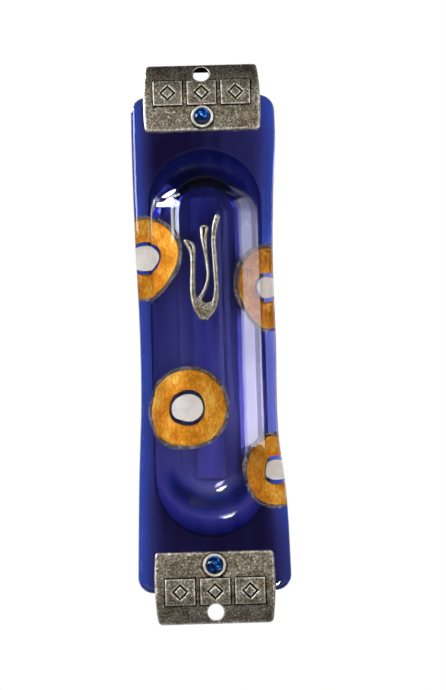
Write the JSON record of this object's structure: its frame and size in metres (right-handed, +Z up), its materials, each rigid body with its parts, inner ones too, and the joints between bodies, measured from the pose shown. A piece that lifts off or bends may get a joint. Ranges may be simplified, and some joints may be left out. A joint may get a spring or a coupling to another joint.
{
  "type": "mezuzah case",
  "caption": "Fused-glass mezuzah case with foil rings, a cast letter, cast end brackets set with crystals, a rolled scroll and a back cover.",
  "frame": {"origin": "centre of the back plane, where the bracket feet meet the doorpost", "axes": "+Z up the doorpost along the case, +Y into the doorpost, +X to the right seen from the front"},
  "size_m": [0.0374, 0.0136, 0.1404],
  "materials": {
    "blue_glass": "transparent cobalt blue, fire polished",
    "clear_glass": "clear, fire polished",
    "gold_foil": "crinkled gold foil under glass",
    "silver_foil": "matt silver foil under glass",
    "pewter": "antiqued cast pewter, dark in the recesses and bright on the edges",
    "crystal": "faceted, foil backed",
    "glue": "clear epoxy",
    "parchment": "matt parchment",
    "wrapper_paper": "waxed paper",
    "cover_card": "matt white plastic sheet",
    "foam_tape": "white double-sided foam"
  },
  "bodies": {
    "case": {"blue_glass_sheet": "blue_glass", "clear_glass_cap": "clear_glass", "gold_ring_upper_left": "gold_foil", "gold_ring_upper_right": "gold_foil", "gold_ring_middle": "gold_foil", "gold_ring_lower_right": "gold_foil", "silver_disc_upper_left": "silver_foil", "silver_disc_upper_right": "silver_foil", "silver_disc_middle": "silver_foil", "silver_disc_lower_right": "silver_foil", "letter_shin": "pewter", "letter_glue": "glue", "top_bracket": "pewter", "bottom_bracket": "pewter", "top_crystal": "crystal", "bottom_crystal": "crystal", "top_bracket_glue": "glue", "bottom_bracket_glue": "glue"},
    "cover": {"back_cover": "cover_card", "left_tape_strip": "foam_tape", "right_tape_strip": "foam_tape"},
    "scroll": {"parchment_scroll": "parchment", "scroll_wrapper": "wrapper_paper"}
  },
  "joints": [
    {"name": "cover_off", "type": "slide", "parent": "case", "child": "cover", "axis": [0, 1, 0], "range_m": [0, 0.03]},
    {"name": "scroll_out", "type": "slide", "parent": "case", "child": "scroll", "axis": [0, 1, 0], "range_m": [0, 0.015]}
  ],
  "couplings": [
    {"joint": "scroll_out", "follows": "cover_off", "ratio": 0.5}
  ]
}
